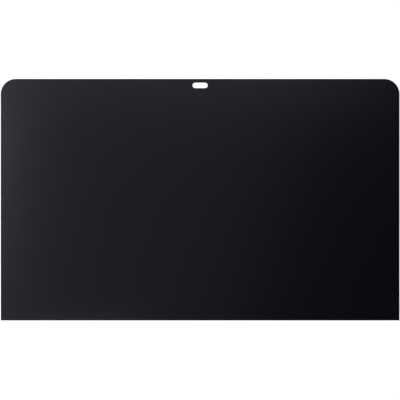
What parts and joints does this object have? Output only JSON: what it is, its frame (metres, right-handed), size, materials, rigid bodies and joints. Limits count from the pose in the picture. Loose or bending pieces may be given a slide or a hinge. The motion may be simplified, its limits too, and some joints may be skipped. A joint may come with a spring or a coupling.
{
  "type": "monitor privacy filter",
  "caption": "Thin black privacy filter sheet that covers a monitor's screen, with round top corners, square bottom corners and a rounded webcam slot near the top edge.",
  "frame": {"origin": "centre of the back face's outline, on the back face that the sheet lies on", "axes": "+X to the right along the sheet's width, +Y towards the top edge with the webcam slot, +Z out of the front face"},
  "size_m": [0.525, 0.318, 0.0005],
  "materials": {
    "louvre_laminate": "satin"
  },
  "bodies": {
    "root": {"filter_sheet": "louvre_laminate"}
  },
  "joints": []
}
